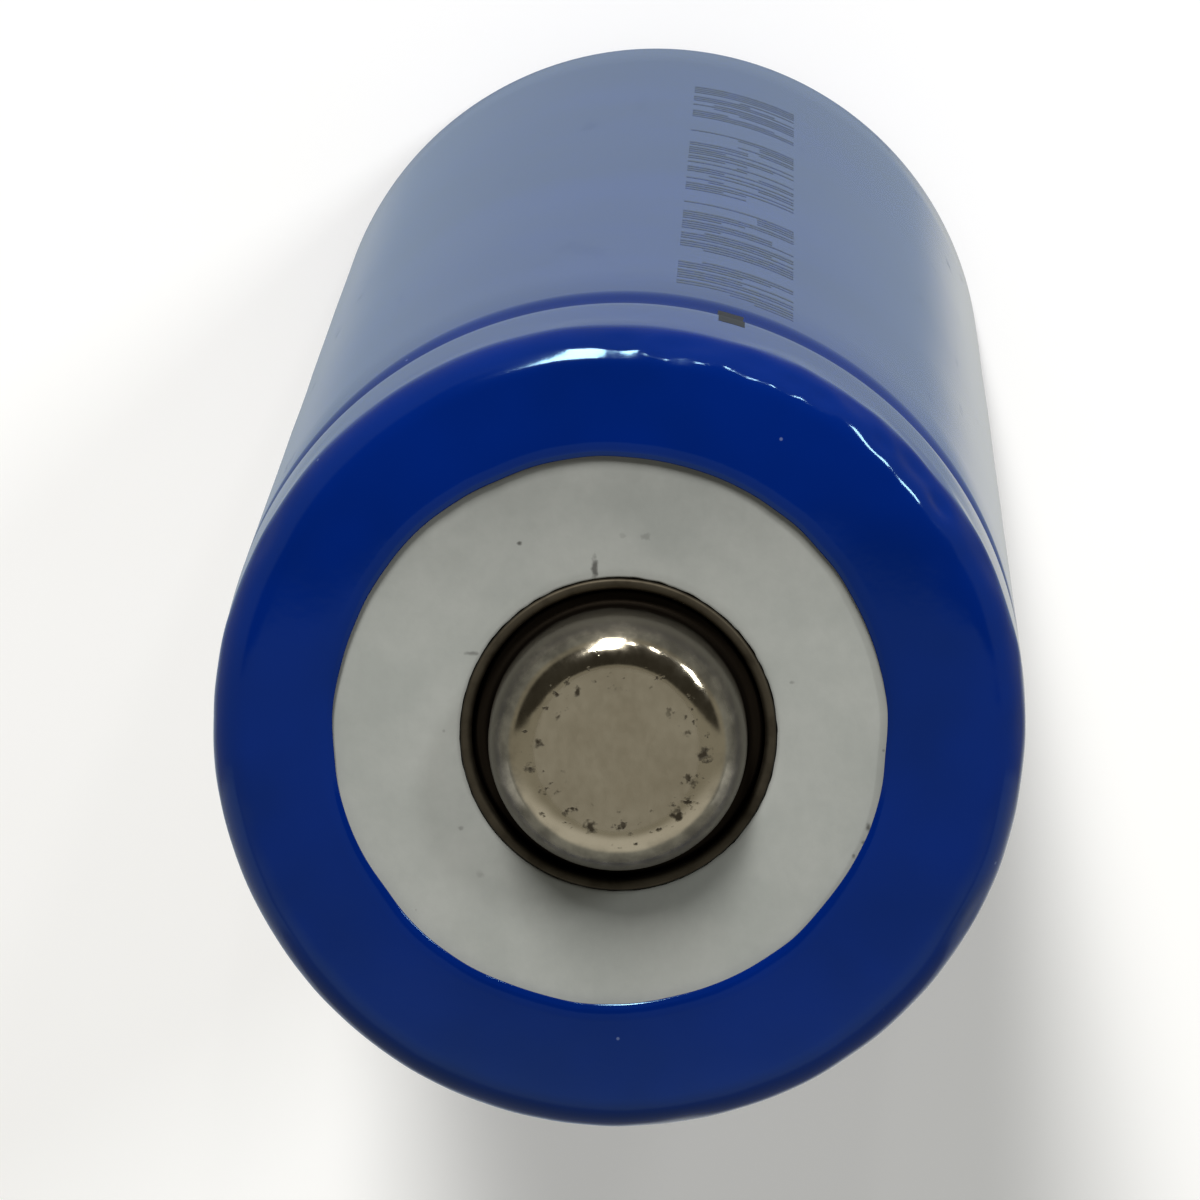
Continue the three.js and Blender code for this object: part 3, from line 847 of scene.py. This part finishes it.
# Deep-drawn steel, nickel-plated before drawing: bright, with fine rings from the tool and scratches from use
def drawnNickel():
    look = {
        "ring": 0.18,  # mm from one tool mark to the next
        "ringDepth": 0.0012,
        "bright": "#cfc8b6",
        "stained": "#9b8f76",
        "stain": (3, 0.4, 0.75),
        "stainShare": 0.35,
        "scratch": (0.1, 0.7, 0.76),
        "crossScratch": (0.12, 0.71, 0.77),
        "scratchColour": "#e9e4d6",
        "scratchShare": 0.4,
        "scratchDepth": 0.0012,
        "rough": (0.2, 0.42),
        "roughEdge": (0.2, 1.6),  # rings and scratches added up, where it starts and is full
    }
    material, tree, shader, place = newMaterial("nickel-plated drawn steel", Metallic=1)
    reach = axisDistance(tree, place)
    reach = addNode(tree, "Math", {0: reach, 1: 1 / (look["ring"] * mm)}, operation="MULTIPLY")
    inputs = {"W": reach, "Scale": 1, "Detail": 3}
    rings = addNode(tree, "TexNoise", inputs, noise_dimensions="1D")
    stain = patches(tree, place, *look["stain"], detail=5)
    colour = lay(tree, linear(look["bright"]), stain, look["stainShare"], linear(look["stained"]))
    scratch = patches(tree, place, *look["scratch"], detail=1, stretch=(1, 0.04, 1))
    crossed = patches(tree, place, *look["crossScratch"], detail=1, stretch=(0.03, 1, 1), shift=(3, 1, 0))
    marks = addNode(tree, "Math", {0: scratch, 1: crossed}, operation="MAXIMUM")
    colour = lay(tree, colour, marks, look["scratchShare"], linear(look["scratchColour"]))
    bright, dull = look["rough"]
    rough = addNode(tree, "Math", {0: rings, 1: marks}, operation="ADD")
    start, full = look["roughEdge"]
    rough = addNode(tree, "MapRange", {0: rough, 1: start, 2: full, 3: bright, 4: dull}, **smooth)
    bump = addNode(tree, "Bump", {"Height": rings, "Distance": look["ringDepth"] * mm})
    whole = addNode(tree, "Math", {0: 1, 1: marks}, operation="SUBTRACT")
    inputs = {"Height": whole, "Distance": look["scratchDepth"] * mm, "Normal": bump}
    bump = addNode(tree, "Bump", inputs)
    feed(tree, shader, {"Base Color": colour, "Roughness": rough, "Normal": bump})
    return material


canMaterial = drawnNickel()
finishPiece(canPiece, canMaterial, "nickel_plated_steel", "can")


# ---- print on the sleeve: plain bars and a dash, with no letters ----
printing = {
    "start": 7.4,  # degrees from +Y towards +X
    "end": 25.1,
    "pitch": 2.07,  # mm along the cell for each cluster of bars
    "groups": [(8.6, 3), (16.6, 5), (29.2, 7), (46.6, 4)],  # mm below the crest, clusters
    "barsEach": 4,
    "bar": 0.26,
    "gap": 0.2,
    "widths": (1, 1, 0.34, 0.55, 0.8),  # a bar's width is one of these shares
    "ragged": 0.018,
    "cell": 0.3,  # mm between the vertices of a bar
    "inkGap": 0.002,  # keeps the ink just clear of the film
    "ink": 0.003,  # its thickness
    "dash": (15.8, 5.2, 2.6, 0.62),  # turn, mm below the crest, length along the cell, width
}


# a thin patch of ink on the side, made flat and then wrapped round the cell
def inkPatch(turnStart, turnEnd, below, height):
    wide = math.radians(turnEnd - turnStart) * bodyRadius
    bpy.ops.object.select_all(action="DESELECT")
    bpy.ops.mesh.primitive_plane_add(size=1, location=(wide / 2, 0, 0))
    patch = bpy.context.active_object
    patch.scale = (wide, height, 1)
    bpy.ops.object.transform_apply(location=True, rotation=False, scale=True)
    bpy.ops.object.mode_set(mode="EDIT")
    bpy.ops.mesh.select_all(action="SELECT")
    bpy.ops.mesh.subdivide(number_cuts=max(1, round(max(wide, height) / printing["cell"])))
    bpy.ops.object.mode_set(mode="OBJECT")
    for vertex in patch.data.vertices:
        turn = math.radians(turnStart) + vertex.co.x / bodyRadius
        ragged = printing["ragged"] * noise.noise(Vector((vertex.co.x * 4, (vertex.co.y + below) * 4, 1)))
        level = bodyHeight - below - vertex.co.y + ragged
        outside = bodyRadius + 0.2  # clear of the film until it is wrapped on
        vertex.co = Vector((outside * math.sin(turn), outside * math.cos(turn), level)) * mm
    return patch


def printPatches():
    draw = random.Random(7)
    start, end = printing["start"], printing["end"]
    step = printing["bar"] + printing["gap"]
    made = []
    for below, clusters in printing["groups"]:
        for cluster in range(clusters):
            top = below + cluster * printing["pitch"]
            for bar in range(printing["barsEach"]):
                level = top + bar * step
                width = (end - start) * draw.choice(printing["widths"])
                from_ = start if draw.random() < 0.5 else end - width
                made.append(inkPatch(from_, from_ + width, level, printing["bar"]))
    turn, below, length, width = printing["dash"]
    half = math.degrees(width / 2 / bodyRadius)
    made.append(inkPatch(turn - half, turn + half, below, length))
    return made


def makePrint():
    made = printPatches()
    bpy.ops.object.select_all(action="DESELECT")
    for patch in made:
        patch.select_set(True)
    bpy.context.view_layer.objects.active = made[0]
    bpy.ops.object.join()
    piece = bpy.context.active_object
    piece.name = piece.data.name = "printed_bars"
    applyModifier(
        piece,
        "SHRINKWRAP",
        target=sleevePiece,
        wrap_method="NEAREST_SURFACEPOINT",
        wrap_mode="OUTSIDE_SURFACE",
        offset=printing["inkGap"] * mm,
    )
    onlySelect(piece)
    bpy.ops.object.mode_set(mode="EDIT")
    bpy.ops.mesh.select_all(action="SELECT")
    bpy.ops.mesh.normals_make_consistent(inside=False)
    bpy.ops.object.mode_set(mode="OBJECT")
    applyModifier(piece, "SOLIDIFY", thickness=printing["ink"] * mm, offset=1)
    return piece


# pad-printed ink, rubbed thin by handling, so that the blue shows through in patches
def padInk():
    look = {
        "ink": "#26292c",
        "film": "#142660",
        "worn": (0.35, 0.42, 0.62),
        "wornDepth": 0.002,
        "fresh": (8, 7),  # mm below the crest where the ink, on the dash only, starts and is all fresh
        "rough": (0.22, 0.75),  # worn smooth, and fresh
    }
    material, tree, shader, place = newMaterial("pad-printed ink", IOR=1.5)
    worn = patches(tree, place, *look["worn"], detail=5)
    parts = addNode(tree, "SeparateXYZ", {0: place})
    start, full = look["fresh"]
    inputs = {0: parts.outputs["Z"], 1: (bodyHeight - start) * mm, 2: (bodyHeight - full) * mm}
    fresh = addNode(tree, "MapRange", inputs, **smooth)
    old = addNode(tree, "Math", {0: 1, 1: fresh}, operation="SUBTRACT")
    worn = addNode(tree, "Math", {0: worn, 1: old}, operation="MULTIPLY")
    tones = {6: linear(look["ink"]), 7: linear(look["film"])}
    colour = addNode(tree, "Mix", {0: worn, **tones}, **colours)
    smoothed, rubbed = look["rough"]
    rough = addNode(tree, "MapRange", {0: fresh, 3: smoothed, 4: rubbed}, **smooth)
    bump = addNode(tree, "Bump", {"Height": worn, "Distance": look["wornDepth"] * mm})
    feed(tree, shader, {"Base Color": colour, "Roughness": rough, "Normal": bump})
    return material


printPiece = makePrint()
finishPiece(printPiece, padInk(), "blue_shrink_sleeve")


# ---- inside the case: the header stack, the wound roll and its tabs keep their shapes ----
# One finish in two tones, cloudy or streaked. Grain is the streaks' size in mm, and a stretch below 1
# draws them out.
def innerFinish(name, tones, grain, stretch, rough, depth, **sockets):
    material, tree, shader, place = newMaterial(name, **sockets)
    fresh, dull = linear(tones[0]), linear(tones[1])
    look = {"streaks": (0.3, 0.7), "cloud": 12, "clouds": (0.35, 0.65), "cloudShare": 0.35}
    streaks = patches(tree, place, grain, *look["streaks"], detail=4, stretch=stretch)
    clouds = patches(tree, place, look["cloud"] * grain, *look["clouds"])  # that many grains across
    colour = addNode(tree, "Mix", {0: streaks, 6: fresh, 7: dull}, **colours)
    colour = lay(tree, colour, clouds, look["cloudShare"], dull)
    shine = addNode(tree, "MapRange", {0: streaks, 3: rough[0], 4: rough[1]}, **smooth)
    bump = addNode(tree, "Bump", {"Height": streaks, "Distance": depth * mm})
    feed(tree, shader, {"Base Color": colour, "Roughness": shine, "Normal": bump})
    return material


def dressInside():
    along, around, even = (1, 1, 0.04), (0.3, 0.3, 1), (1, 1, 1)
    finishes = {
        # injection-moulded, milky and waxy
        "crimp_gasket": innerFinish(
            "moulded polypropylene", ("#d9dcd8", "#c6cbc6"), 0.5, even, (0.38, 0.5), 0.003,
            IOR=1.49, Subsurface_Weight=0.3, Subsurface_Scale=0.4 * mm,
        ),
        # rolled sheet, punched: faint rolling lines one way
        "aluminium": innerFinish(
            "rolled aluminium sheet", ("#d5d7d8", "#b9bcbe"), 0.15, (1, 0.05, 1), (0.28, 0.42), 0.0008,
            Metallic=1,
        ),
        # calendered film, die-cut: even, with a slight haze
        "insulator": innerFinish(
            "polyester insulating film", ("#a9bfa8", "#98b197"), 0.4, even, (0.4, 0.5), 0.001, IOR=1.57,
        ),
        # carbon-filled polymer pressed between foils: matt black and grainy
        "ptc_ring": innerFinish(
            "carbon-filled polyethylene", ("#26262a", "#34343a"), 0.12, even, (0.6, 0.75), 0.004, IOR=1.5,
        ),
        # stretched microporous film: matt white with marks along the stretch
        "separator": innerFinish(
            "stretched polyolefin film", ("#eceeec", "#dfe2e0"), 0.2, along, (0.55, 0.65), 0.0008, IOR=1.5,
        ),
        # oxide paste, slot-coated and rolled: near black, with coating lines round the roll
        "positive_electrode": innerFinish(
            "rolled oxide coating", ("#1f2123", "#2c2f31"), 0.3, around, (0.7, 0.85), 0.002, IOR=1.5,
        ),
        # graphite paste, coated and rolled: dark grey with a soft lustre
        "negative_electrode": innerFinish(
            "rolled graphite coating", ("#2e2b29", "#3d3936"), 0.3, around, (0.5, 0.66), 0.002, IOR=1.6,
        ),
        # cold-rolled strip, nickel plated: fine lines along it
        "strip": innerFinish(
            "nickel-plated steel strip", ("#c9c4b8", "#aaa597"), 0.12, along, (0.2, 0.34), 0.0006, Metallic=1,
        ),
        # polyester tape with the adhesive's mottling behind it
        "roll_tape": innerFinish(
            "green polyester tape", ("#3f9a62", "#348352"), 0.8, even, (0.22, 0.32), 0.0015, IOR=1.57,
        ),
        # polyimide tape: clear amber, glossy
        "amber_tape": innerFinish(
            "amber polyimide tape", ("#c07f22", "#a96b17"), 0.6, even, (0.18, 0.28), 0.001, IOR=1.68,
        ),
    }
    shared = {
        "contact_plate": "aluminium",
        "burst_disc": "aluminium",
        "positive_tab": "aluminium",
        "cid_insulator_ring": "insulator",
        "lower_insulator": "insulator",
        "upper_insulator": "insulator",
        "separator_inner": "separator",
        "separator_outer": "separator",
        "centre_pin": "strip",
        "negative_tab": "strip",
        "negative_tab_tape": "amber_tape",
        "positive_tab_tape": "amber_tape",
    }
    outside = ("can", "sleeve", "top_washer", "top_cap", "button_cap")
    for name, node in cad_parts.items():
        if name not in outside:
            for slot in node.material_slots:
                slot.material = finishes[shared.get(name, name)]
    print("inner pieces dressed")


dressInside()


# ---- floor, lights and surroundings ----
def makeFloor():
    bpy.ops.object.select_all(action="DESELECT")
    bpy.ops.mesh.primitive_plane_add(size=6, location=(0, 0, 0))
    floor = bpy.context.active_object
    floor.name = "floor"
    look = {"white": "#f6f6f5", "shade": "#f3f3f1", "grain": (30, 0.2, 0.8), "glow": 0.1}
    material, tree, shader, place = newMaterial(
        "matt white card", IOR=1.4, Roughness=0.9, Emission_Color=(1, 1, 1, 1), Emission_Strength=look["glow"]
    )
    tones = {6: linear(look["white"]), 7: linear(look["shade"])}
    colour = addNode(tree, "Mix", {0: patches(tree, place, *look["grain"]), **tones}, **colours)
    feed(tree, shader, {"Base Color": colour})
    floor.data.materials.append(material)
    floor.visible_glossy = False  # the gloss shows the surroundings below instead, as over a dark table


# a soft lamp that looks at the cell's upper end: size and distance in mm, power in watts
def softLamp(name, tilt, turn, distance, size, power, colour):
    data = bpy.data.lights.new(name, "AREA")
    data.shape = "RECTANGLE"
    data.size, data.size_y = size[0] * mm, size[1] * mm
    data.energy = power
    data.color = colour
    lamp = bpy.data.objects.new(name, data)
    bpy.context.scene.collection.objects.link(lamp)
    faceTowards(lamp, topMiddle + direction(tilt, turn) * distance * mm, topMiddle)


# a plain room by direction: dim ahead and warm overhead, brighter behind, blue-grey far below
def makeWorld():
    room = {
        "overhead": (0.27, 0.258, 0.222, 1),
        "behind": (0.54, 0.53, 0.5, 1),
        "ahead": (0.035, 0.032, 0.026, 1),
        "level": (0.26, 0.27, 0.27, 1),
        "panel": (0.5, 0.52, 0.54, 1),
        "below": (0.31, 0.385, 0.47, 1),
        "aside": (0.66, 0.68, 0.66, 1),
    }
    world = bpy.data.worlds.new("studio")
    bpy.context.scene.world = world
    world.use_nodes = True
    tree = world.node_tree
    way = addNode(tree, "TexCoord", {}).outputs["Generated"]
    parts = addNode(tree, "SeparateXYZ", {0: way})
    right, forward, height = (parts.outputs[axis] for axis in "XYZ")

    sideways = addNode(tree, "Math", {0: forward, 1: 0.45}, operation="ADD")
    sideways = addNode(tree, "Math", {0: sideways}, operation="ABSOLUTE")
    # where each part starts and is full, on a unit direction, and its least share: +X is right, +Y ahead
    edges = {
        "behind": (forward, -0.25, -0.6, 0),
        "ahead": (forward, -0.07, 0, 0),
        "aheadUp": (height, 0.5, 0.66, 0),
        "level": (height, 0.5, 0.3, 0),
        "panel": (sideways, 0.2, 0.14, 0),
        "panelDown": (height, 0.34, 0.24, 0),
        "asideRight": (right, -0.03, 0.04, 0.3),
        "aside": (forward, -0.03, -0.1, 0),
        "below": (height, -0.6, -0.93, 0),
    }
    shares = {}
    for name, (value, start, full, least) in edges.items():
        inputs = {0: value, 1: start, 2: full, 3: least}
        shares[name] = addNode(tree, "MapRange", inputs, **smooth)
    for name, other in (("ahead", "aheadUp"), ("panel", "panelDown"), ("aside", "asideRight")):
        inputs = {0: shares[name], 1: shares[other]}
        shares[name] = addNode(tree, "Math", inputs, operation="MULTIPLY")
    colour = room["overhead"]
    for name in ("behind", "ahead", "level", "panel"):
        colour = addNode(tree, "Mix", {0: shares[name], 6: colour, 7: room[name]}, **colours)
    under = {0: shares["aside"], 6: room["below"], 7: room["aside"]}
    under = addNode(tree, "Mix", under, **colours)
    colour = addNode(tree, "Mix", {0: shares["below"], 6: colour, 7: under}, **colours)
    feed(tree, tree.nodes["Background"], {"Color": colour})


makeFloor()
makeWorld()
softLamp("window", 52, -7.2, 600, (100, 270), 4, (1, 0.99, 0.98))
softLamp("window_pane_near", 52, 8.3, 600, (14, 60), 0.1, (1, 1, 1))
softLamp("window_pane_far", 52, 25, 600, (20, 60), 0.15, (1, 1, 1))
softLamp("side_lamp", 53, 52, 600, (60, 130), 0.85, (0.97, 0.99, 1))
bpy.context.scene.view_settings.view_transform = "Standard"
print("stage lit")
